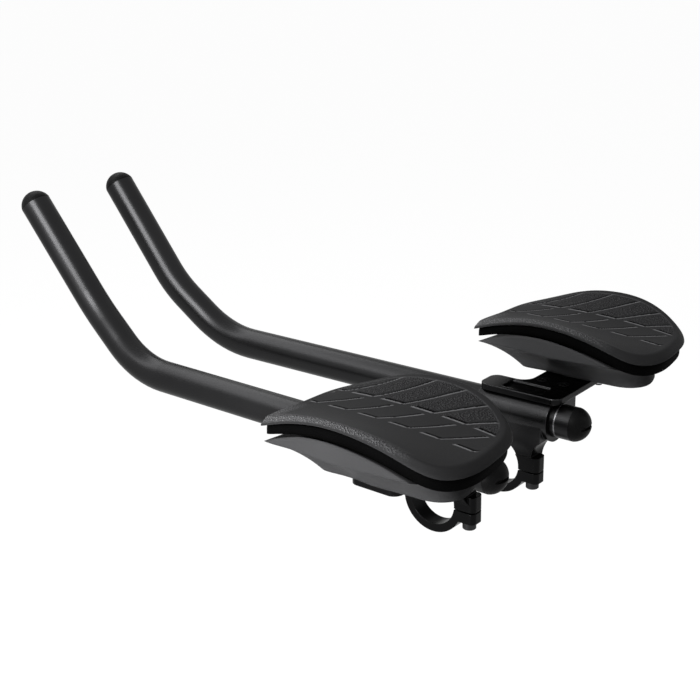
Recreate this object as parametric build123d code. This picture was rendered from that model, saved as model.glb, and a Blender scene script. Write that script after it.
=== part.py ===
import os
from math import cos, radians, sin, tan

from build123d import *

# Clip-on aero handlebar extensions, a pair: +Y is forward, +X is the rider's right, +Z is up.
# The handlebar runs along X through the origin. The right half is modelled and mirrored to the left.

# Fits, shared by every piece
bore_clearance = 0.1
screw_clearance = 0.3
seat_gap = 0.4
layer_gap = 0.2
overcut = 1.0

# Handlebar clamp
bar_diameter = 31.8
clamp_offset = 36.2
clamp_width = 11.0
clamp_wall = 5.2
bar_relief = 1.5
split_gap = 1.0
split_drop = 1.8
ear_thickness = 7.0
ear_reach = 6.4
ear_corner = 3.5
lug_roof = 1.4
hinge_angle = 20.0
knuckle_radius = 4.2
knuckle_width = 5.0
hinge_pin_diameter = 4.0

# Screws: five millimetre cap screws and four millimetre countersunk screws
screw_diameter = 5.0
head_diameter = 8.5
head_height = 5.0
head_chamfer = 0.5
socket_flats = 4.0
socket_depth = 2.6
deck_screw_diameter = 4.0
deck_head_diameter = 7.6
deck_head_height = 2.0
deck_socket_flats = 2.4
deck_socket_depth = 1.4
deck_screw_depth = 8.0
bolt_tail = 1.5
nut_flats = 8.0
nut_height = 4.0
washer_diameter = 10.0
washer_thickness = 1.0

# Extension tube
tube_diameter = 22.2
tube_wall = 1.8
tube_height = 31.2
tube_offset = 47.8
toe_angle = 0.81
rear_seam = 46.6
front_bend = 254.0
middle_length = 59.3
middle_rise = 37.1
middle_inset = 4.0
middle_radius = 75.0
tip_length = 101.5
tip_rise = 50.2
tip_inset = 1.5
tip_radius = 110.0
mark_offset = 9.5
mark_width = 0.8
mark_depth = 0.3

# End plugs
tip_cap_height = 9.6
rear_cap_height = 10.0
cap_edge = 0.8
spigot_length = 13.0
spigot_wall = 2.0
slot_width = 2.4
slot_depth = 2.6

# Barrel and neck of the bracket
barrel_radius = 14.5
barrel_front = 20.0
barrel_rear = 33.0
pinch_slit = 2.0
rail_reach = 24.0
rail_front = 5.0
lower_rail_thickness = 7.5
pinch_reach = 18.5
pinch_top = 8.6
neck_top_width = 27.4
neck_front = 20.0
neck_foot = 3.2
flank_radius = 10.0
flank_setback = 5.0
flank_height = 10.0

# Armrest deck
deck_seat = 13.3
deck_thickness = 4.0
deck_inboard = 10.5
deck_outboard = 9.6
deck_front = 20.0
arm_front = 5.5
arm_rear = 39.0
arm_end = 80.0
deck_corner = 6.0
deck_inner_corner = 9.0
groove_width = 14.6
groove_length = 28.5
groove_centre = 10.2
groove_depth = 1.2
groove_corner = 1.5
deck_screw_spacing = 16.0
bolt_spacing = 18.0
slot_length = 34.0

# Armrest cup
cup_offset = 105.0
cup_setback = 20.0
rim_inset = 0.8
waist_height = 28.0
waist_half_width = 36.0
waist_half_length = 49.0
flare_height = 38.2
cup_wall = 3.0
cup_floor = 3.0
base_half_width = 25.5
base_half_length = 45.0
base_setback = 5.5
rim_plane = 62.0
boss_radius = 6.5
rib_thickness = 2.4
rib_spacing = 36.0
bolt_head_drop = 6.0
droop_start = 24.0
droop_angle = 4.5

# Pad
pad_half_width = 54.0
pad_half_length = 65.0
skin_thickness = 4.8
skin_edge = 3.0
foam_thickness = 5.2
foam_taper = 3.0
foam_inset = 2.6
patch_thickness = 0.6
patch_width = 16.0
patch_length = 50.0
patch_offset = 20.0

# Plan of the pad as shares of its half width and half length, from the front left corner clockwise
pad_plan = [(-0.84, 0.9), (-0.42, 0.95), (0.1, 0.97), (0.62, 0.91), (0.93, 0.6), (1.01, 0.12), (0.97, -0.4),
            (0.69, -0.8), (0.1, -0.98), (-0.48, -1.0), (-0.79, -0.86), (-0.92, -0.45), (-0.98, 0.05),
            (-0.94, 0.55)]

# Height of the pad above the tube axis and how it changes over the pad
pad_height = 47.8
wing_rise = 12.5
wing_fade = 1.3
wing_tilt = 3.0
pad_crown = 2.5
pad_pitch = 1.5
grid_step = 0.32
grid_half = 4

os.makedirs("parts", exist_ok=True)

# Values that follow from the driving sizes
bar_radius = bar_diameter / 2
tube_radius = tube_diameter / 2
tube_bore = tube_radius - tube_wall
screw_radius = screw_diameter / 2
clamp_radius = bar_radius + clamp_wall
bolt_setback = bar_radius + screw_radius + clamp_wall
lug_rear = bolt_setback + ear_reach
ear_top = -split_drop - split_gap / 2
ear_bottom = ear_top - ear_thickness
jaw_bottom = -split_drop + split_gap / 2
hinge_y = clamp_radius * cos(radians(hinge_angle))
hinge_z = clamp_radius * sin(radians(hinge_angle))
deck_top = deck_seat + deck_thickness
barrel_frame = Pos(tube_offset, 0, tube_height) * Rot(0, 0, toe_angle)
barrel_span = (-barrel_rear, barrel_front)

# Tube centreline in the barrel frame
bend_point = Vector(0, front_bend, 0)
middle_run = middle_length * cos(radians(middle_rise))
middle_climb = middle_length * sin(radians(middle_rise))
second_bend = bend_point + Vector(-middle_inset, middle_run, middle_climb)
tip_run = tip_length * cos(radians(tip_rise))
tip_climb = tip_length * sin(radians(tip_rise))
tip_apex = second_bend + Vector(middle_inset - tip_inset, tip_run, tip_climb)
tip_direction = (tip_apex - second_bend).normalized()
tip_seam = tip_apex - tip_direction * tip_cap_height
rear_point = Vector(0, -rear_seam, 0)

# Lengths and places of the screws
clamp_bolt_length = neck_foot + clamp_wall - lug_roof - ear_bottom
pinch_setback = (rail_front + barrel_rear) / 2
pinch_seat = -pinch_slit / 2 - lower_rail_thickness
deck_screw_places = [-pinch_setback + side * deck_screw_spacing / 2 for side in (1, -1)]
bolt_line = (arm_front + arm_rear) / 2
bolt_places = [-bolt_line + side * bolt_spacing / 2 for side in (1, -1)]
foam_top = skin_thickness + layer_gap
foam_bottom = foam_top + foam_thickness
patch_top = foam_bottom + layer_gap
pad_stack = patch_top + patch_thickness + layer_gap
cup_bolt_seat = pad_height - pad_stack - foam_taper / 2 - bolt_head_drop
cup_bolt_length = cup_bolt_seat - deck_seat + washer_thickness + nut_height + bolt_tail


def along_y(radius, rear, front):
    """Cylinder along Y from rear to front."""
    return Pos(0, (rear + front) / 2, 0) * Rot(90, 0, 0) * Cylinder(radius, front - rear)


def along_x(radius, width, centre):
    """Cylinder along X, centred at the given point."""
    return Pos(*centre) * Rot(0, 90, 0) * Cylinder(radius, width)


def upright(radius, low, high, x=0, y=0):
    """Cylinder along Z between two heights."""
    return Pos(x, y, (low + high) / 2) * Cylinder(radius, high - low)


def block(x, y, z):
    """Box between pairs of limits."""
    centre = Pos(sum(x) / 2, sum(y) / 2, sum(z) / 2)
    return centre * Box(x[1] - x[0], y[1] - y[0], z[1] - z[0])


def rounded_path(points, radii):
    """Polyline with a tangent arc at each inner point."""
    corners = [Vector(*p) for p in points]
    edges = []
    start = corners[0]
    for before, corner, after, radius in zip(corners, corners[1:], corners[2:], radii):
        inward = (before - corner).normalized()
        onward = (after - corner).normalized()
        half_bend = radians(180 - inward.get_angle(onward)) / 2
        reach = radius * tan(half_bend)
        middle = corner + (inward + onward).normalized() * (radius / cos(half_bend) - radius)
        arc_start = corner + inward * reach
        arc_end = corner + onward * reach
        edges.append(Line(start, arc_start))
        edges.append(ThreePointArc(arc_start, middle, arc_end))
        start = arc_end
    edges.append(Line(start, corners[-1]))
    return Wire([e.edge() for e in edges])


def cap_screw(length):
    """Cap screw standing on its head: the head is below zero and the shank is above it."""
    head = upright(head_diameter / 2, -head_height, 0)
    shank = upright(screw_radius, 0, length)
    socket = extrude(RegularPolygon(socket_flats / 2, 6, major_radius=False), socket_depth)
    head = chamfer(head.edges().group_by(Axis.Z)[0], head_chamfer)
    return head + shank - Pos(0, 0, -head_height) * socket


def cap(height):
    """Domed plug: the seam with the tube is at zero, the dome is above and the spigot is below."""
    dome_height = height - cap_edge
    dome_radius = (tube_radius * tube_radius + dome_height * dome_height) / (2 * dome_height)
    ball = Pos(0, 0, height - dome_radius) * Sphere(dome_radius)
    dome = ball & upright(tube_radius, 0, height)
    spigot_radius = tube_bore - bore_clearance
    spigot = upright(spigot_radius, -spigot_length, 0)
    spigot -= upright(spigot_radius - spigot_wall, -spigot_length, 0)
    return dome + spigot


def extension_tube():
    """Hollow tube, bent twice, with a thin ring mark behind the barrel."""
    path = rounded_path([rear_point, bend_point, second_bend, tip_seam], [middle_radius, tip_radius])
    section = Plane(rear_point, z_dir=(0, 1, 0)) * (Circle(tube_radius) - Circle(tube_bore))
    tube = sweep(section, path=path)
    mark_rear = -rear_seam + mark_offset
    mark = along_y(tube_radius + mark_depth, mark_rear, mark_rear + mark_width)
    core = along_y(tube_radius - mark_depth, mark_rear, mark_rear + mark_width)
    return barrel_frame * (tube - (mark - core))


def tip_plug():
    """Plain domed plug in the front tip."""
    return barrel_frame * Plane(tip_seam, z_dir=tip_direction).location * cap(tip_cap_height)


def rear_plug():
    """Domed plug in the rear end, with a slot across its dome."""
    slot = block((-tube_diameter, tube_diameter), (-slot_width / 2, slot_width / 2),
                 (rear_cap_height - slot_depth, rear_cap_height + slot_depth))
    plug = cap(rear_cap_height) - slot
    return barrel_frame * Plane(rear_point, x_dir=(1, 0, 0), z_dir=(0, -1, 0)).location * plug


def barrel():
    """Barrel with a rail along its outer side, flat on top for the deck, in the barrel frame."""
    body = along_y(barrel_radius, -barrel_rear, barrel_front)
    body += block((0, rail_reach), (-barrel_rear, -rail_front), (pinch_seat, deck_seat))
    return body - block((-barrel_radius, rail_reach), barrel_span, (deck_seat, barrel_radius * 2))


def neck():
    """Web that joins the barrel to the upper half of the bar clamp."""
    length = lug_rear + neck_front
    middle = (neck_front - lug_rear) / 2
    foot = Pos(clamp_offset, middle, neck_foot) * Rectangle(clamp_width, length)
    top = Pos(tube_offset, middle, tube_height) * Rectangle(neck_top_width, length)
    web = loft([foot, top])
    half = clamp_width / 2
    sides = (clamp_offset - half, clamp_offset + half)
    lug = block(sides, (-lug_rear, -bar_radius / 2), (jaw_bottom, neck_foot + clamp_wall))
    lug = fillet(lug.edges().filter_by(Axis.Z).group_by(Axis.Y)[0], ear_corner)
    cheek = along_x(knuckle_radius, clamp_width, (clamp_offset, hinge_y, hinge_z))
    flank_centre = (tube_offset, -lug_rear - flank_setback, flank_height)
    flank = along_x(flank_radius, neck_top_width * 3, flank_centre)
    return web - flank + lug + cheek


def bracket_body():
    """Barrel, neck and upper half of the bar clamp in one casting."""
    body = barrel_frame * barrel() + neck()
    body -= barrel_frame * along_y(tube_radius + bore_clearance / 2, -barrel_rear * 2, barrel_front * 2)
    body -= barrel_frame * block((0, rail_reach), barrel_span, (-pinch_slit / 2, pinch_slit / 2))
    body -= along_x(bar_radius, tube_offset * 4, (0, 0, 0))
    relief_centre = clamp_offset + (clamp_width + tube_offset) / 2
    body -= along_x(bar_radius + bar_relief, tube_offset, (relief_centre, 0, 0))
    slit_width = knuckle_width + 2 * seat_gap
    body -= along_x(knuckle_radius + seat_gap, slit_width, (clamp_offset, hinge_y, hinge_z))
    half = slit_width / 2
    slit_sides = (clamp_offset - half, clamp_offset + half)
    body -= block(slit_sides, (bar_radius / 2, hinge_y + knuckle_radius * 2), (-clamp_radius, hinge_z))
    body -= along_x(hinge_pin_diameter / 2, clamp_width * 2, (clamp_offset, hinge_y, hinge_z))
    bolt_top = ear_bottom + clamp_bolt_length
    body -= upright(screw_radius, jaw_bottom - overcut, bolt_top, clamp_offset, -bolt_setback)
    pinch_hole = upright(screw_radius, -deck_seat, pinch_top, pinch_reach, -pinch_setback)
    pinch_hole += upright(screw_radius + screw_clearance, -deck_seat, 0, pinch_reach, -pinch_setback)
    body -= barrel_frame * pinch_hole
    deck_hole = upright(deck_screw_diameter / 2, deck_seat - deck_screw_depth, deck_seat + overcut)
    for y in deck_screw_places:
        body -= barrel_frame * Pos(pinch_reach, y, 0) * deck_hole
    return body


def clamp_strap():
    """Lower half of the bar clamp: a band with a hinge knuckle in front and an ear behind."""
    half = clamp_width / 2
    sides = (clamp_offset - half, clamp_offset + half)
    wide = clamp_radius * 2
    ring = along_x(clamp_radius, clamp_width, (clamp_offset, 0, 0))
    shoulder = neck_foot - seat_gap * 2
    band = ring - block(sides, (0, wide), (min(shoulder, hinge_z - knuckle_radius - seat_gap), wide))
    band -= block(sides, (-wide, 0), (ear_top, wide))
    ear = block(sides, (-lug_rear, 0), (ear_bottom, ear_top))
    ear = fillet(ear.edges().filter_by(Axis.Z).group_by(Axis.Y)[0], ear_corner)
    tongue_half = knuckle_width / 2
    tongue_sides = (clamp_offset - tongue_half, clamp_offset + tongue_half)
    tongue = along_x(clamp_radius, knuckle_width, (clamp_offset, 0, 0))
    tongue &= block(tongue_sides, (0, wide), (-wide, hinge_z))
    knuckle = along_x(knuckle_radius, knuckle_width, (clamp_offset, hinge_y, hinge_z))
    strap = band + ear + tongue + knuckle
    strap -= along_x(bar_radius, clamp_width * 2, (clamp_offset, 0, 0))
    pin_hole_radius = (hinge_pin_diameter + bore_clearance) / 2
    strap -= along_x(pin_hole_radius, clamp_width, (clamp_offset, hinge_y, hinge_z))
    bolt_hole = upright(screw_radius + screw_clearance, ear_bottom - overcut, ear_top + overcut)
    return strap - Pos(clamp_offset, -bolt_setback, 0) * bolt_hole


def hinge_pin():
    """Plain pin through the knuckle of the strap and the cheeks of the body."""
    return along_x(hinge_pin_diameter / 2, clamp_width, (clamp_offset, hinge_y, hinge_z))


def clamp_bolt():
    """Cap screw up through the ear of the strap."""
    return Pos(clamp_offset, -bolt_setback, ear_bottom) * cap_screw(clamp_bolt_length)


def pinch_bolt():
    """Cap screw up through both rails of the barrel."""
    return barrel_frame * Pos(pinch_reach, -pinch_setback, pinch_seat) * cap_screw(pinch_top - pinch_seat)


def armrest_deck():
    """Flat plate on the barrel, with an arm to the outside and two slots for the cup bolts."""
    corners = [(-deck_inboard, deck_front), (deck_outboard, deck_front), (deck_outboard, -arm_front),
               (arm_end, -arm_front), (arm_end, -arm_rear), (-deck_inboard, -arm_rear)]
    inner = Vector(deck_outboard, -arm_front, 0)
    outline = make_face(Polyline(*corners, close=True))
    outer_corners = [v for v in outline.vertices() if (Vector(v) - inner).length > deck_corner]
    outline = fillet(outer_corners, deck_corner)
    inner_corner = outline.vertices().sort_by_distance(inner)[0]
    outline = fillet(inner_corner, deck_inner_corner)
    plate = Pos(0, 0, deck_seat) * extrude(outline, deck_thickness)
    groove = extrude(RectangleRounded(groove_width, groove_length, groove_corner), groove_depth * 2)
    plate -= Pos(0, -groove_centre, deck_top - groove_depth) * groove
    for y in deck_screw_places:
        plate -= Pos(pinch_reach, y, deck_top) * countersink(screw_clearance / 2)
    deck = barrel_frame * plate
    slot_plan = SlotOverall(slot_length, screw_diameter + 2 * screw_clearance)
    slot = extrude(slot_plan, deck_thickness * 2, both=True)
    for y in bolt_places:
        deck -= Pos(cup_offset, y, tube_height + deck_seat) * slot
    return deck


def countersink(spare):
    """Countersunk screw, or with some spare round it, the hole for one: its flat head is at zero."""
    shank = upright(deck_screw_diameter / 2 + spare, -deck_thickness - deck_screw_depth, 0)
    head = Cone(deck_screw_diameter / 2 + spare, deck_head_diameter / 2 + spare, deck_head_height)
    return shank + Pos(0, 0, -deck_head_height / 2) * head


def deck_screw(y):
    """Countersunk screw through the deck into the upper rail."""
    socket = extrude(RegularPolygon(deck_socket_flats / 2, 6, major_radius=False), -deck_socket_depth)
    return barrel_frame * Pos(pinch_reach, y, deck_top) * (countersink(0) - socket)


def pad_surface(drop, taper):
    """Sheet shaped like the pad's top, lower by the drop in front and by the taper more behind."""
    steps = range(-grid_half, grid_half + 1)
    rows = []
    for i in steps:
        x = i * grid_step
        row = []
        for j in steps:
            y = j * grid_step
            wing = wing_rise * x * x * (1 - wing_fade * y * y) - wing_tilt * x
            slope = pad_pitch * y - pad_crown * y * y - taper * (1 - y) / 2
            row.append(Vector(x * pad_half_width, y * pad_half_length, pad_height + wing + slope - drop))
        rows.append(row)
    return Face.make_surface_from_array_of_points(rows)


def sheet(drop, thickness, taper=0):
    """Layer of even height below such a sheet."""
    return extrude(pad_surface(drop, taper), thickness, dir=(0, 0, -1))


def pad_outline(half_width, half_length, shift=0):
    """Plan of the pad: a straight front with a tight left corner, and a round rear."""
    points = [(x * half_width, y * half_length + shift) for x, y in pad_plan]
    return make_face(Spline(*points, periodic=True))


def column(plan, low, high):
    """Straight column with the given plan."""
    return Pos(0, 0, low) * extrude(plan, high - low)


def pad_skin():
    """Moulded top layer with a sloping border."""
    plan = pad_outline(pad_half_width, pad_half_length)
    layer = sheet(0, skin_thickness) & column(plan, 0, rim_plane * 2)
    top = layer.faces().sort_by(lambda face: face.normal_at().Z)[-1]
    return chamfer(top.edges(), skin_edge)


def pad_foam():
    """Foam layer below the skin."""
    plan = pad_outline(pad_half_width - foam_inset, pad_half_length - foam_inset)
    layer = sheet(foam_top, rim_plane) & column(plan, 0, rim_plane * 2)
    return layer - sheet(foam_bottom, rim_plane * 2, foam_taper)


def pad_patch(side):
    """Hook-and-loop patch between the foam and the cup."""
    plan = Pos(side * patch_offset, 0) * Rectangle(patch_width, patch_length)
    layer = sheet(patch_top, patch_thickness, foam_taper)
    return layer & column(plan, 0, rim_plane * 2)


def bowl(inset, drop):
    """Bowl that flares from the base of the cup out to its rim."""
    base = pad_outline(base_half_width - inset, base_half_length - inset, -base_setback)
    waist = pad_outline(waist_half_width - inset, waist_half_length - inset)
    rim = pad_outline(pad_half_width - rim_inset - inset, pad_half_length - rim_inset - inset)
    heights = (deck_top - drop, waist_height, flare_height)
    flare = loft([Pos(0, 0, z) * plan for z, plan in zip(heights, (base, waist, rim))])
    return flare + column(rim, flare_height, flare_height * 2)


def under_pad(drop):
    """Space below the pad, which droops away from the foam near the front."""
    space = sheet(drop, rim_plane, foam_taper)
    pivot = Pos(0, droop_start, pad_height - drop)
    return space & pivot * Rot(-droop_angle, 0, 0) * pivot.inverse() * space


def armrest_cup():
    """Moulded hull, hollow below, with a curved floor, two bosses and crossing ribs."""
    hull = bowl(0, 0) & under_pad(pad_stack)
    hollow = bowl(cup_wall, cup_wall) & under_pad(pad_stack + cup_floor)
    half = rib_thickness / 2
    hollow -= block((-half, half), (-pad_half_length, pad_half_length), (0, rim_plane))
    for side in (-1, 1):
        y = side * rib_spacing / 2 - base_setback
        hollow -= block((-pad_half_width, pad_half_width), (y - half, y + half), (0, rim_plane))
    for y in bolt_places:
        hollow -= upright(boss_radius, 0, rim_plane, 0, y + cup_setback)
    cup = hull - hollow
    for y in bolt_places:
        cup -= upright(screw_radius + screw_clearance, 0, rim_plane, 0, y + cup_setback)
        cup -= upright(head_diameter / 2 + seat_gap, cup_bolt_seat, rim_plane, 0, y + cup_setback)
    return cup


def cup_bolt(y):
    """Cap screw down through the cup and the deck."""
    return Pos(0, y + cup_setback, cup_bolt_seat) * Rot(180, 0, 0) * cap_screw(cup_bolt_length)


def cup_washer(y):
    """Washer below the deck."""
    ring = upright(washer_diameter / 2, deck_seat - washer_thickness, deck_seat)
    ring -= upright(screw_radius + bore_clearance, 0, deck_seat)
    return Pos(0, y + cup_setback, 0) * ring


def cup_nut(y):
    """Hexagon nut below the washer."""
    nut = extrude(RegularPolygon(nut_flats / 2, 6, major_radius=False), -nut_height)
    nut -= upright(screw_radius, -nut_height, 0)
    return Pos(0, y + cup_setback, deck_seat - washer_thickness) * nut


mirrored = {
    "extension_tube": extension_tube(),
    "tip_plug": tip_plug(),
    "rear_plug": rear_plug(),
    "bracket_body": bracket_body(),
    "clamp_strap": clamp_strap(),
    "hinge_pin": hinge_pin(),
    "clamp_bolt": clamp_bolt(),
    "pinch_bolt": pinch_bolt(),
    "armrest_deck": armrest_deck(),
}
for place, y in zip(("front", "rear"), deck_screw_places):
    mirrored["deck_screw_" + place] = deck_screw(y)

# The armrest is one moulding for both sides: it is moved across, not mirrored
repeated = {
    "armrest_cup": armrest_cup(),
    "pad_foam": pad_foam(),
    "pad_skin": pad_skin(),
    "pad_patch_west": pad_patch(-1),
    "pad_patch_east": pad_patch(1),
}
for place, y in zip(("front", "rear"), bolt_places):
    repeated["cup_bolt_" + place] = cup_bolt(y)
    repeated["cup_washer_" + place] = cup_washer(y)
    repeated["cup_nut_" + place] = cup_nut(y)

for name, piece in mirrored.items():
    export_step(piece, f"parts/right_{name}.step")
    export_step(mirror(piece, about=Plane.YZ), f"parts/left_{name}.step")
for name, piece in repeated.items():
    for side, sign in (("left", -1), ("right", 1)):
        export_step(Pos(sign * cup_offset, -cup_setback, tube_height) * piece, f"parts/{side}_{name}.step")
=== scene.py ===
import math

import bpy
import numpy as np
from mathutils import Matrix, Vector


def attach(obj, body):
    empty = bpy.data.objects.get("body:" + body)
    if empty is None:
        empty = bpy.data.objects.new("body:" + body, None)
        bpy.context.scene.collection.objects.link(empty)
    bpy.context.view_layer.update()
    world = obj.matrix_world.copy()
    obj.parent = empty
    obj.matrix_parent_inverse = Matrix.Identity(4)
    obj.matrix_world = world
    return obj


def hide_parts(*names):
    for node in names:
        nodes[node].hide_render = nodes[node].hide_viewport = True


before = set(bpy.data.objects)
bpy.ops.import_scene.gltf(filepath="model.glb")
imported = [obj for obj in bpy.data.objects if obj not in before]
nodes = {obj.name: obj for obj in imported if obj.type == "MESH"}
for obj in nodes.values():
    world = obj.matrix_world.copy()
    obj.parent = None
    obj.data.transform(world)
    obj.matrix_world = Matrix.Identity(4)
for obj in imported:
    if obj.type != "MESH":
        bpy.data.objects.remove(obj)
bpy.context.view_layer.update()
print("frame loaded:", len(nodes), "pieces")


def startMaterial(name):
    material = bpy.data.materials.new(name)
    material.use_nodes = True
    tree = material.node_tree
    shader = tree.nodes["Principled BSDF"]
    return material, tree, shader


def addNode(tree, kind, **settings):
    node = tree.nodes.new(kind)
    for key, value in settings.items():
        setattr(node, key, value)
    return node


def plug(tree, source, target):  # a socket is linked, anything else is a fixed value
    if isinstance(source, bpy.types.NodeSocket):
        tree.links.new(source, target)
    else:
        target.default_value = source


def mathNode(tree, operation, first, second=None, third=None, clamp=False):
    node = addNode(tree, "ShaderNodeMath", operation=operation, use_clamp=clamp)
    for socket, value in zip(node.inputs, (first, second, third)):
        if value is not None:
            plug(tree, value, socket)
    return node.outputs[0]


def ramp(tree, value, start, end):  # zero at the start, one at the end
    node = addNode(tree, "ShaderNodeMapRange")
    node.inputs["From Min"].default_value = start
    node.inputs["From Max"].default_value = end
    plug(tree, value, node.inputs["Value"])
    return node.outputs[0]


def mixColor(tree, factor, first, second):
    node = addNode(tree, "ShaderNodeMix", data_type="RGBA")
    plug(tree, factor, node.inputs[0])
    plug(tree, first, node.inputs[6])
    plug(tree, second, node.inputs[7])
    return node.outputs[2]


def startGroup(name, inputs, outputs):
    group = bpy.data.node_groups.new(name, "ShaderNodeTree")
    for label, kind, value in inputs:
        socket = group.interface.new_socket(label, in_out="INPUT", socket_type=kind)
        if value is not None:
            socket.default_value = value
    for label, kind in outputs:
        group.interface.new_socket(label, in_out="OUTPUT", socket_type=kind)
    return group, group.nodes.new("NodeGroupInput"), group.nodes.new("NodeGroupOutput")


def useGroup(tree, group, **values):
    node = addNode(tree, "ShaderNodeGroup", node_tree=group)
    for label, value in values.items():
        plug(tree, value, node.inputs[label])
    return node


def objectPlace(tree):
    return addNode(tree, "ShaderNodeTexCoord").outputs["Object"]


def objectAxes(tree):
    axes = addNode(tree, "ShaderNodeSeparateXYZ")
    plug(tree, objectPlace(tree), axes.inputs[0])
    return axes.outputs[0], axes.outputs[1], axes.outputs[2]


# fine surface grain, as blasted metal or moulded plastic has
grainGroup, grainIn, grainOut = startGroup(
    "surfaceGrain",
    [("place", "NodeSocketVector", None), ("size", "NodeSocketFloat", 900.0),
     ("drift", "NodeSocketFloat", 14.0)],
    [("height", "NodeSocketFloat"), ("patchy", "NodeSocketFloat")])
fine = addNode(grainGroup, "ShaderNodeTexNoise")
fine.inputs["Detail"].default_value = 3.0
plug(grainGroup, grainIn.outputs["place"], fine.inputs["Vector"])
plug(grainGroup, grainIn.outputs["size"], fine.inputs["Scale"])
plug(grainGroup, fine.outputs[0], grainOut.inputs["height"])
broad = addNode(grainGroup, "ShaderNodeTexNoise")
broad.inputs["Detail"].default_value = 4.0
plug(grainGroup, grainIn.outputs["place"], broad.inputs["Vector"])
plug(grainGroup, grainIn.outputs["drift"], broad.inputs["Scale"])
plug(grainGroup, broad.outputs[0], grainOut.inputs["patchy"])


# pale worn edges, which on the deck are a painted highlight along its edges and its groove: one where the
# rounded normal leaves the flat one
wearSheenGroup, wearSheenIn, wearSheenOut = startGroup(
    "edgeWearAndSheen", [("rounded", "NodeSocketVector", None)], [("mask", "NodeSocketFloat")])
flat = addNode(wearSheenGroup, "ShaderNodeNewGeometry").outputs["True Normal"]
agree = addNode(wearSheenGroup, "ShaderNodeVectorMath", operation="DOT_PRODUCT")
plug(wearSheenGroup, wearSheenIn.outputs["rounded"], agree.inputs[0])
plug(wearSheenGroup, flat, agree.inputs[1])
plug(wearSheenGroup, ramp(wearSheenGroup, agree.outputs["Value"], 0.98, 0.85), wearSheenOut.inputs["mask"])

edgeTint = {0.0: (1, 1, 1, 1), 1.0: (0.7, 0.7, 0.7, 1)}  # dark metal stays dark at a glancing angle


def grainyMaterial(name, look):
    material, tree, shader = startMaterial(name)
    grain = useGroup(tree, grainGroup, place=objectPlace(tree),
                     size=look["grainSize"], drift=look["driftSize"])
    tone = mixColor(tree, grain.outputs["patchy"], look["dark"], look["light"])
    if look["softEdge"]:
        edge = addNode(tree, "ShaderNodeBevel", samples=6)
        edge.inputs["Radius"].default_value = look["softEdge"]
        wearSheen = useGroup(tree, wearSheenGroup, rounded=edge.outputs[0])
        # pale edges: wear on most parts, a painted highlight on the deck
        tone = mixColor(tree, wearSheen.outputs["mask"], tone, look["wornAndSheen"])
    plug(tree, tone, shader.inputs["Base Color"])
    rough = addNode(tree, "ShaderNodeMapRange")
    rough.inputs["To Min"].default_value = look["roughness"] - look["roughSwing"]
    rough.inputs["To Max"].default_value = look["roughness"] + look["roughSwing"]
    plug(tree, grain.outputs["patchy"], rough.inputs["Value"])
    plug(tree, rough.outputs[0], shader.inputs["Roughness"])
    bump = addNode(tree, "ShaderNodeBump")
    bump.inputs["Strength"].default_value = look["bump"]
    bump.inputs["Distance"].default_value = look["bumpDepth"]
    plug(tree, grain.outputs["height"], bump.inputs["Height"])
    if look["softEdge"]:
        plug(tree, edge.outputs[0], bump.inputs["Normal"])
    plug(tree, bump.outputs[0], shader.inputs["Normal"])
    shader.inputs["Metallic"].default_value = look["metallic"]
    shader.inputs["Specular IOR Level"].default_value = look["specular"]
    shader.inputs["Specular Tint"].default_value = edgeTint[look["metallic"]]
    return material


def grey(value):
    return (value, value, value * 1.03, 1.0)


def dress(material, *names):
    for side in ("left", "right"):
        for name in names:
            piece = nodes[side + "_" + name]
            piece.data.materials.clear()
            piece.data.materials.append(material)
            for face in piece.data.polygons:
                face.use_smooth = True


def paintOver(material, mask, tone):  # another tone on top where the mask is one
    tree = material.node_tree
    base = tree.nodes["Principled BSDF"].inputs["Base Color"]
    plug(tree, mixColor(tree, mask, base.links[0].from_socket, tone), base)


def ringMark(material, look):  # pale printed ring round the tube
    tree = material.node_tree
    x, y = objectAxes(tree)[:2]
    outward = mathNode(tree, "SUBTRACT", mathNode(tree, "ABSOLUTE", x), look["offset"])
    along = mathNode(tree, "MULTIPLY_ADD", outward, -look["toe"], y)
    mask = mathNode(tree, "COMPARE", along, look["middle"], look["halfWidth"])
    paintOver(material, mask, look["tone"])


def paintNeckShade(material, look):  # painted shade: the neck and the clamp below it are darkened towards the bottom, where they lie in shade; the barrel keeps its shine
    tree = material.node_tree
    height = objectAxes(tree)[2]
    paintOver(material, ramp(tree, height, look["top"], look["bottom"]), look["tone"])


tubeLook = dict(dark=grey(0.018), light=grey(0.026), roughness=0.33, roughSwing=0.04,
                grainSize=1600.0, driftSize=20.0, bump=0.03, bumpDepth=0.0002,
                softEdge=0.0, metallic=1.0, specular=0.5)
ringLook = dict(offset=0.0478, toe=0.01414, middle=-0.0367, halfWidth=0.0005, tone=grey(0.25))
tubeFinish = grainyMaterial("satinBlackTube", tubeLook)
ringMark(tubeFinish, ringLook)
dress(tubeFinish, "extension_tube")

bracketLook = dict(dark=grey(0.024), light=grey(0.032), roughness=0.28, roughSwing=0.06,
                   grainSize=1300.0, driftSize=35.0, bump=0.08, bumpDepth=0.0002,
                   softEdge=0.0007, wornAndSheen=grey(0.03), metallic=1.0, specular=0.5)
# painted shade on the bracket's neck and clamp, darker below the barrel
neckShadeLook = dict(top=0.022, bottom=0.01, tone=grey(0.007))
bracketFinish = grainyMaterial("satinBlackBracket", bracketLook)
paintNeckShade(bracketFinish, neckShadeLook)
dress(bracketFinish, "bracket_body", "clamp_strap")

# painted highlight: the deck's edges and the edges of its groove are paler, standing in for the light
# they catch
deckLook = dict(bracketLook, dark=grey(0.007), light=grey(0.012), roughness=0.26,
                softEdge=0.0012, wornAndSheen=grey(0.05))
dress(grainyMaterial("deepBlackDeck", deckLook), "armrest_deck")

cupLook = dict(dark=grey(0.034), light=grey(0.043), roughness=0.36, roughSwing=0.05,
               grainSize=1800.0, driftSize=25.0, bump=0.15, bumpDepth=0.0002,
               softEdge=0.003, wornAndSheen=grey(0.043), metallic=0.0, specular=0.002)
dress(grainyMaterial("greyCupPlastic", cupLook), "armrest_cup")

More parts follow.
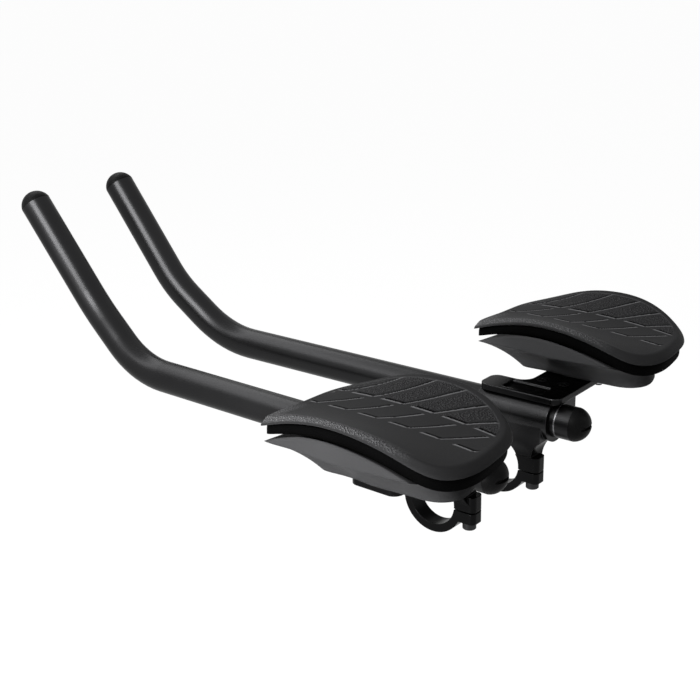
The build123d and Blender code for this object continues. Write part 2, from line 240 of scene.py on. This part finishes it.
plugLook = dict(dark=grey(0.002), light=grey(0.004), roughness=0.48, roughSwing=0.05,
                grainSize=1500.0, driftSize=60.0, bump=0.1, bumpDepth=0.0002,
                softEdge=0.0004, wornAndSheen=grey(0.01), metallic=0.0, specular=0.045)
dress(grainyMaterial("blackPlug", plugLook), "tip_plug", "rear_plug")

boltLook = dict(dark=grey(0.02), light=grey(0.04), roughness=0.34, roughSwing=0.08,
                grainSize=1500.0, driftSize=160.0, bump=0.08, bumpDepth=0.0002,
                softEdge=0.0003, wornAndSheen=grey(0.06), metallic=1.0, specular=0.5)
dress(grainyMaterial("darkBoltSteel", boltLook), "hinge_pin", "clamp_bolt",
      "deck_screw_front", "deck_screw_rear", "cup_bolt_front", "cup_bolt_rear")

steelLook = dict(boltLook, dark=grey(0.3), light=grey(0.45), wornAndSheen=grey(0.5), roughness=0.28)
dress(grainyMaterial("brightNutSteel", steelLook), "pinch_bolt",
      "cup_washer_front", "cup_washer_rear", "cup_nut_front", "cup_nut_rear")

tapeLook = dict(dark=grey(0.004), light=grey(0.008), roughness=0.9, roughSwing=0.05,
                grainSize=1400.0, driftSize=300.0, bump=0.6, bumpDepth=0.0004,
                softEdge=0.0, metallic=0.0, specular=0.1)
dress(grainyMaterial("loopTape", tapeLook), "pad_patch_west", "pad_patch_east")
print("metal and plastic finishes done")


padSize = dict(
    halfWidth=0.054, halfLength=0.065, offset=0.105, setback=0.020,
    tubeHeight=0.0312, height=0.0478, wingRise=0.0125, wingFade=1.3, wingTilt=0.003,
    crown=0.0025, pitch=0.0015,
    around=220,  # points round the edge
    parting=0.05,  # gap between the upper and the lower sheet while they are flat
    fineFrom=0.0065,  # distance from the edge where the finer faces start
    plan=[(-0.84, 0.9), (-0.42, 0.95), (0.1, 0.97), (0.62, 0.91), (0.93, 0.6), (1.01, 0.12),
          (0.97, -0.4), (0.69, -0.8), (0.1, -0.98), (-0.48, -1.0), (-0.79, -0.86),
          (-0.92, -0.45), (-0.98, 0.05), (-0.94, 0.55)])
# wall: distance from the edge and how far the top lies below the pad's own height there
skinShape = dict(inset=0.0, drop=0.0, thickness=0.0048, taper=0.0, cuts=2, emboss=0.0003,
                 wall=[(0.0, 0.0047), (0.0002, 0.004), (0.0008, 0.0031), (0.0034, 0.0005),
                       (0.0042, 0.0), (0.005, -0.0001), (0.0062, 0.0)])
foamShape = dict(inset=0.0026, drop=0.005, thickness=0.0052, taper=0.003, cuts=0, emboss=0.0,
                 wall=[(0.0, 0.0042), (0.0001, 0.0012), (0.0004, 0.0002), (0.0012, 0.0)])

# chevron lines with a painted highlight along each ridge and painted shade in each groove, stippled
# fields, and a stippled side band painted lighter where light falls on the -x side, with a painted
# highlight along the +x border, on the top of a pad
skinLook = dict(
    # the line tone is a painted highlight on the ridges and along the +x border, the groove tone painted
    # shade in the grooves, the band tone the side band painted lighter where it is lit
    dark=grey(0.018), light=grey(0.023), field=grey(0.055), lineHighlight=grey(0.13),
    groove=grey(0.001), band=grey(0.15), roughness=0.5, specular=0.012,
    grainSize=1500.0, driftSize=30.0, bump=0.9, bumpDepth=0.0012,
    lineHeight=0.2, stippleHeight=1.0, grainHeight=0.1,
    pitch=0.0212, steepness=1.6, lineWidth=0.0018, grooveWidth=0.00234,
    stemWidth=0.00108, stemGroove=0.00126, ridgeShare=0.6,
    fieldIn=(0.0027, 0.0045), fieldOut=(0.01908, 0.01484), border=(0.007, 0.0085),
    dots=900.0, dotSize=0.65,
    rightRow=dict(spine=0.0185, slant=math.tan(math.radians(40)), reach=0.032,
                  dash=0.0145, shift=-0.009),
    leftRow=dict(spine=-0.0075, slant=math.tan(math.radians(36)), reach=0.022,
                 dash=0.012, shift=0.0135))
# painted light: the stippled side band on the -x side of both pads, lighter where light falls
litBandLook = dict(width=0.0115, spread=0.05, fade=0.005, filled=0.35,
                side=(-0.012, -0.03), rear=(-0.045, -0.01), rim=(0.0004, 0.0014))
# painted highlight along the +x border of each pad, with a raised crease in the bump
creaseHighlightLook = dict(inset=0.0075, width=0.0008, side=(0.02, 0.035), tone=0.2, height=0.5)


def planCurve(points, count):  # closed smooth curve through the points, evenly spaced
    p = np.array(points)
    steps = np.linalg.norm(np.roll(p, -1, axis=0) - p, axis=1)
    size = len(p)
    system = np.zeros((size, size))
    for i in range(size):
        h0, h1 = steps[i - 1], steps[i]
        system[i, i - 1] += h1
        system[i, i] += 2 * (h0 + h1)
        system[i, (i + 1) % size] += h0
    slopes = (np.roll(p, -1, axis=0) - p) / steps[:, None]
    sides = np.array([3 * (steps[i] * slopes[i - 1] + steps[i - 1] * slopes[i]) for i in range(size)])
    tangents = np.linalg.solve(system, sides)
    dense = []
    for i in range(size):
        j = (i + 1) % size
        for t in np.arange(0, 1, 0.01):
            a = (1 + 2 * t) * (1 - t) ** 2
            b = t * (1 - t) ** 2
            c = t * t * (3 - 2 * t)
            d = t * t * (t - 1)
            dense.append(a * p[i] + b * steps[i] * tangents[i] + c * p[j] + d * steps[i] * tangents[j])
    dense = np.array(dense)
    lengths = np.linalg.norm(np.roll(dense, -1, axis=0) - dense, axis=1)
    along = np.concatenate([[0], np.cumsum(lengths)])
    closed = np.vstack([dense, dense[:1]])
    places = np.arange(count) / count * along[-1]
    return np.column_stack([np.interp(places, along, closed[:, k]) for k in (0, 1)])


def padHeight(x, y, taper):
    u, v = x / padSize["halfWidth"], y / padSize["halfLength"]
    wing = padSize["wingRise"] * u * u * (1 - padSize["wingFade"] * v * v) - padSize["wingTilt"] * u
    slope = padSize["pitch"] * v - padSize["crown"] * v * v - taper * (1 - v) / 2
    return padSize["tubeHeight"] + padSize["height"] + wing + slope


def edgeDistance(points, outline):
    after = np.roll(outline, -1, axis=0)
    run = after - outline
    best = np.full(len(points), 1e9)
    for a, r in zip(outline, run):
        t = np.clip(((points - a) @ r) / (r @ r), 0, 1)
        best = np.minimum(best, np.linalg.norm(points - (a + t[:, None] * r), axis=1))
    return best


def stripeHeight(distance, width):
    steepness = skinLook["steepness"]
    return np.clip(steepness - distance * steepness / width, 0, 1)


def embossed(x, y, inset):  # the skin's lines as heights: ridges above, grooves below
    look = skinLook
    ridge, groove = np.zeros(len(x)), np.zeros(len(x))
    for row in (look["rightRow"], look["leftRow"]):
        across = x - row["spine"]
        ahead = np.mod(across * row["slant"] + y + row["shift"], look["pitch"])
        arm = (across > 0) & (across < row["reach"])
        stem = ahead < row["dash"]
        beside = np.abs(across - look["lineWidth"])
        ridge = np.maximum(ridge, stripeHeight(look["pitch"] - ahead, look["lineWidth"]) * arm)
        ridge = np.maximum(ridge, stripeHeight(np.abs(across), look["stemWidth"]) * stem)
        groove = np.maximum(groove, stripeHeight(ahead, look["grooveWidth"]) * arm)
        groove = np.maximum(groove, stripeHeight(beside, look["stemGroove"]) * stem)
    start, end = look["border"]
    inner = np.clip((inset - start) / (end - start), 0, 1)
    return (look["ridgeShare"] * ridge - groove) * inner


def refineMiddle(piece, outline, cuts):  # finer faces on the top, away from the edge
    bpy.ops.mesh.select_mode(type="FACE")
    bpy.ops.mesh.select_all(action="DESELECT")
    bpy.ops.object.mode_set(mode="OBJECT")
    middles = np.array([face.center for face in piece.data.polygons])
    wanted = edgeDistance(middles[:, :2], outline) > padSize["fineFrom"]
    wanted &= middles[:, 2] > -padSize["parting"] / 2
    for face, chosen in zip(piece.data.polygons, wanted):
        face.select = bool(chosen)
    bpy.ops.object.mode_set(mode="EDIT")
    bpy.ops.mesh.subdivide(number_cuts=cuts)
    bpy.ops.mesh.select_mode(type="VERT")


def padLayer(name, shape, side):
    count = padSize["around"]
    halfWidth = padSize["halfWidth"] - shape["inset"]
    halfLength = padSize["halfLength"] - shape["inset"]
    outline = planCurve([(x * halfWidth, y * halfLength) for x, y in padSize["plan"]], count)
    bpy.ops.object.select_all(action="DESELECT")
    bpy.ops.mesh.primitive_circle_add(vertices=count, radius=halfWidth, fill_type="NGON")
    piece = bpy.context.object
    piece.name = name
    for vertex, place in zip(piece.data.vertices, outline):
        vertex.co = (place[0], place[1], 0)
    bpy.ops.object.mode_set(mode="EDIT")
    bpy.ops.mesh.select_all(action="SELECT")
    rings = [0.999, 0.996, 0.99, 0.982, 0.974, 0.966, 0.956, 0.945, 0.93, 0.91, 0.88]
    rings += [0.85 - 0.04 * k for k in range(21)]
    before = 1.0
    for ring in rings:  # ring after ring towards the middle
        bpy.ops.mesh.inset(thickness=0.0, use_boundary=True)
        share = ring / before
        bpy.ops.transform.resize(value=(share, share, 1), center_override=(0, 0, 0))
        before = ring
    bpy.ops.mesh.poke()
    bpy.ops.mesh.select_all(action="SELECT")
    bpy.ops.mesh.duplicate()
    bpy.ops.transform.translate(value=(0, 0, -padSize["parting"]))
    bpy.ops.mesh.flip_normals()
    if shape["cuts"]:
        refineMiddle(piece, outline, shape["cuts"])
    bpy.ops.object.mode_set(mode="OBJECT")
    mesh = piece.data
    places = np.array([v.co for v in mesh.vertices])
    distance = edgeDistance(places[:, :2], outline)
    insets = [w[0] for w in shape["wall"]]
    drops = [w[1] for w in shape["wall"]]
    top = places[:, 2] > -padSize["parting"] / 2
    x, y = places[:, 0], places[:, 1]
    upper = padHeight(x, y, 0.0) - shape["drop"] - np.interp(distance, insets, drops)
    upper = upper + shape["emboss"] * embossed(x, y, distance)
    lower = padHeight(x, y, shape["taper"]) - shape["drop"] - shape["thickness"]
    heights = np.where(top, upper, lower)
    rim = distance < 1e-6
    heights = np.where(rim & top, lower, heights)
    centre = (padSize["offset"] * side, -padSize["setback"])
    for vertex, a, b, h in zip(mesh.vertices, x, y, heights):
        vertex.co = (a + centre[0], b + centre[1], h)
    band = mesh.attributes.new("inset", "FLOAT", "POINT")  # distance from the edge, for the pattern
    band.data.foreach_set("value", distance.astype(np.float32))
    bpy.ops.object.mode_set(mode="EDIT")
    bpy.ops.mesh.select_all(action="SELECT")
    bpy.ops.mesh.remove_doubles(threshold=0.00001)
    bpy.ops.mesh.normals_make_consistent(inside=False)
    bpy.ops.object.mode_set(mode="OBJECT")
    bpy.ops.object.shade_smooth()
    return piece


def both(tree, *masks):
    result = masks[0]
    for mask in masks[1:]:
        result = mathNode(tree, "MULTIPLY", result, mask)
    return result


def either(tree, first, second):
    return mathNode(tree, "MAXIMUM", first, second)


def stripe(tree, distance, width):  # one on the line, zero at its width
    steepness = skinLook["steepness"]
    fall = mathNode(tree, "DIVIDE", distance, width / steepness)
    return mathNode(tree, "SUBTRACT", steepness, fall, clamp=True)


def chevronRow(tree, x, y, row):
    look = skinLook
    across = mathNode(tree, "SUBTRACT", x, row["spine"])
    lean = mathNode(tree, "MULTIPLY_ADD", across, row["slant"], y)
    ahead = mathNode(tree, "WRAP", mathNode(tree, "ADD", lean, row["shift"]), look["pitch"], 0.0)
    behind = mathNode(tree, "SUBTRACT", look["pitch"], ahead)
    arm = both(tree, mathNode(tree, "GREATER_THAN", across, 0.0),
               mathNode(tree, "LESS_THAN", across, row["reach"]))
    stem = mathNode(tree, "LESS_THAN", ahead, row["dash"])
    beside = mathNode(tree, "ABSOLUTE", mathNode(tree, "SUBTRACT", across, look["lineWidth"]))
    # the lit stripes are a painted highlight along each ridge, the dark stripes painted shade in the
    # groove beside it
    litStem = both(tree, stripe(tree, mathNode(tree, "ABSOLUTE", across), look["stemWidth"]), stem)
    stemShade = both(tree, stripe(tree, beside, look["stemGroove"]), stem)
    lit = either(tree, both(tree, stripe(tree, behind, look["lineWidth"]), arm), litStem)
    dark = either(tree, both(tree, stripe(tree, ahead, look["grooveWidth"]), arm), stemShade)
    field = both(tree, arm, ramp(tree, ahead, *look["fieldIn"]), ramp(tree, ahead, *look["fieldOut"]))
    return lit, dark, field


def litSideBand(tree, x, y, inset, look):  # painted light: a band on the -x side of the pad, wider towards the front, made lighter where light falls on it
    edge = mathNode(tree, "MULTIPLY_ADD", y, look["spread"], look["width"])
    depth = mathNode(tree, "SUBTRACT", edge, inset)
    band = mathNode(tree, "DIVIDE", depth, look["fade"], clamp=True)
    return both(tree, band, ramp(tree, x, *look["side"]), ramp(tree, y, *look["rear"]),
                ramp(tree, inset, *look["rim"]))


# painted highlight line along the +x border, also raised a little in the bump
def borderCreaseHighlight(tree, x, inset, look):
    away = mathNode(tree, "ABSOLUTE", mathNode(tree, "SUBTRACT", inset, look["inset"]))
    return both(tree, stripe(tree, away, look["width"]), ramp(tree, x, *look["side"]))


def padSkinMaterial(look):
    material, tree, shader = startMaterial("padSkin")
    place = objectPlace(tree)
    acrossBike, alongBike = objectAxes(tree)[:2]
    side = mathNode(tree, "SIGN", acrossBike)
    x = mathNode(tree, "MULTIPLY_ADD", side, -padSize["offset"], acrossBike)
    y = mathNode(tree, "ADD", alongBike, padSize["setback"])
    inset = addNode(tree, "ShaderNodeAttribute", attribute_name="inset").outputs["Fac"]
    inner = ramp(tree, inset, *look["border"])
    lit, dark, field = chevronRow(tree, x, y, look["rightRow"])
    leftLit, leftShade = chevronRow(tree, x, y, look["leftRow"])[:2]
    lit = both(tree, either(tree, lit, leftLit), inner)
    dark = both(tree, either(tree, dark, leftShade), inner)
    field = both(tree, field, inner)
    dots = addNode(tree, "ShaderNodeTexVoronoi")
    dots.inputs["Scale"].default_value = look["dots"]
    plug(tree, place, dots.inputs["Vector"])
    stipple = stripe(tree, dots.outputs["Distance"], look["dotSize"])
    band = litSideBand(tree, x, y, inset, litBandLook)
    creaseHighlight = borderCreaseHighlight(tree, x, inset, creaseHighlightLook)

    grain = useGroup(tree, grainGroup, place=place, size=look["grainSize"], drift=look["driftSize"])
    tone = mixColor(tree, grain.outputs["patchy"], look["dark"], look["light"])
    tone = mixColor(tree, both(tree, field, stipple), tone, look["field"])
    # the stippled side band, painted lighter where it is lit from the -x side
    tone = mixColor(tree, both(tree, band, either(tree, stipple, litBandLook["filled"])), tone, look["band"])
    # painted highlight along the +x border
    tone = mixColor(tree, mathNode(tree, "MULTIPLY", creaseHighlight, creaseHighlightLook["tone"]), tone, look["lineHighlight"])
    # painted shade in the grooves, then a painted highlight on the ridges
    tone = mixColor(tree, dark, tone, look["groove"])
    tone = mixColor(tree, lit, tone, look["lineHighlight"])
    plug(tree, tone, shader.inputs["Base Color"])
    shader.inputs["Roughness"].default_value = look["roughness"]
    shader.inputs["Specular IOR Level"].default_value = look["specular"]

    raised = either(tree, lit, mathNode(tree, "MULTIPLY", creaseHighlight, creaseHighlightLook["height"]))
    relief = mathNode(tree, "MULTIPLY", mathNode(tree, "SUBTRACT", raised, dark), look["lineHeight"])
    dotted = both(tree, either(tree, field, band), stipple)
    relief = mathNode(tree, "MULTIPLY_ADD", dotted, look["stippleHeight"], relief)
    relief = mathNode(tree, "MULTIPLY_ADD", grain.outputs["height"], look["grainHeight"], relief)
    bump = addNode(tree, "ShaderNodeBump")
    bump.inputs["Strength"].default_value = look["bump"]
    bump.inputs["Distance"].default_value = look["bumpDepth"]
    plug(tree, relief, bump.inputs["Height"])
    plug(tree, bump.outputs[0], shader.inputs["Normal"])
    return material


foamLook = dict(dark=grey(0.001), light=grey(0.002), roughness=0.75, roughSwing=0.06,
                grainSize=1100.0, driftSize=60.0, bump=0.3, bumpDepth=0.0003,
                softEdge=0.0, metallic=0.0, specular=0.005)
skinFinish = padSkinMaterial(skinLook)
foamFinish = grainyMaterial("blackPadFoam", foamLook)
for sideName, side in (("left", -1), ("right", 1)):
    for layer, shape, finish in (("skin", skinShape, skinFinish), ("foam", foamShape, foamFinish)):
        piece = padLayer(sideName + "Pad" + layer.capitalize(), shape, side)
        piece.data.materials.append(finish)
        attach(piece, "root")
        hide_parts(sideName + "_pad_" + layer)
print("pads done")


studio = dict(floorDrop=-0.32, floorSize=40.0, floorTone=0.8, floorRoughness=0.9,
              floorWhite=0.9,  # the rest of what the camera sees is the lit floor, with the shadow
              backdrop=1.06, worldLight=0.2)
studioLamps = dict(
    leftStrip=dict(place=(-1.1, 0.12, 0.85), target=(0.0, 0.39, 0.1), size=(0.72, 0.18), power=19,
                   roll=41.0),
    lowFill=dict(place=(-1.2, 0.15, 0.02), target=(0.0, 0.12, 0.05), size=(0.3, 0.06), power=18),
    frontSoftbox=dict(place=(-0.1, 0.97, 0.95), target=(0.0, 0.12, 0.05), size=(1.8, 0.3), power=10),
    rearSoftbox=dict(place=(0.6, -1.1, 0.8), target=(0.0, 0.12, 0.05), size=(0.5, 0.4), power=2))
cameraView = dict(place=(-0.643287, -0.427773, 0.352300), azimuth=-50.808, elevation=19.067,
                  roll=-1.069, lens=68.305, sensor=36)


def whiteForCamera(tree):  # camera, mirror and glass rays see plain white
    light = addNode(tree, "ShaderNodeLightPath")
    seen = mathNode(tree, "MAXIMUM", light.outputs["Is Camera Ray"], light.outputs["Is Glossy Ray"])
    return mathNode(tree, "MAXIMUM", seen, light.outputs["Is Transmission Ray"])


def makeFloor():
    bpy.ops.object.select_all(action="DESELECT")
    bpy.ops.mesh.primitive_plane_add(size=studio["floorSize"], location=(0, 0, studio["floorDrop"]))
    floor = bpy.context.object
    floor.name = "studioFloor"
    material, tree, shader = startMaterial("paleFloor")
    tone = studio["floorTone"]
    shader.inputs["Base Color"].default_value = (tone, tone, tone, 1)
    shader.inputs["Roughness"].default_value = studio["floorRoughness"]
    glow = addNode(tree, "ShaderNodeEmission")
    glow.inputs["Strength"].default_value = studio["backdrop"]
    mix = addNode(tree, "ShaderNodeMixShader")
    plug(tree, mathNode(tree, "MULTIPLY", whiteForCamera(tree), studio["floorWhite"]), mix.inputs[0])
    plug(tree, shader.outputs[0], mix.inputs[1])
    plug(tree, glow.outputs[0], mix.inputs[2])
    plug(tree, mix.outputs[0], tree.nodes["Material Output"].inputs[0])
    floor.data.materials.append(material)


def makeWorld():
    world = bpy.data.worlds.new("studioWorld")
    bpy.context.scene.world = world
    world.use_nodes = True
    tree = world.node_tree
    background = tree.nodes["Background"]
    background.inputs["Color"].default_value = (1, 1, 1, 1)
    strength = addNode(tree, "ShaderNodeMapRange")
    strength.inputs["To Min"].default_value = studio["worldLight"]
    strength.inputs["To Max"].default_value = 1.0
    plug(tree, whiteForCamera(tree), strength.inputs["Value"])
    plug(tree, strength.outputs[0], background.inputs["Strength"])


def makeLamp(name, place, target, size, power, roll=0.0):
    bpy.ops.object.light_add(type="AREA", location=place)
    lamp = bpy.context.object
    lamp.name = name
    lamp.data.shape = "RECTANGLE"
    lamp.data.size, lamp.data.size_y = size
    lamp.data.energy = power
    turn = (Vector(target) - Vector(place)).to_track_quat("-Z", "Y").to_matrix()
    lamp.rotation_euler = (turn @ Matrix.Rotation(math.radians(roll), 3, "Z")).to_euler()


def makeCamera(view):
    a, e, r = (math.radians(view[k]) for k in ("azimuth", "elevation", "roll"))
    back = Vector((math.sin(a) * math.cos(e), -math.cos(a) * math.cos(e), math.sin(e)))
    right = Vector((math.cos(a), math.sin(a), 0))
    up = back.cross(right)
    turnedRight = right * math.cos(r) + up * math.sin(r)
    turnedUp = up * math.cos(r) - right * math.sin(r)
    bpy.ops.object.camera_add()
    camera = bpy.context.object
    camera.data.lens = view["lens"]
    camera.data.sensor_width = view["sensor"]
    turn = Matrix((turnedRight, turnedUp, back)).transposed().to_4x4()
    camera.matrix_world = Matrix.Translation(view["place"]) @ turn
    bpy.context.scene.camera = camera


makeFloor()
makeWorld()
makeCamera(cameraView)
for lampName, lamp in studioLamps.items():
    makeLamp(lampName, **lamp)
bpy.context.scene.view_settings.view_transform = "Standard"
print("studio done")
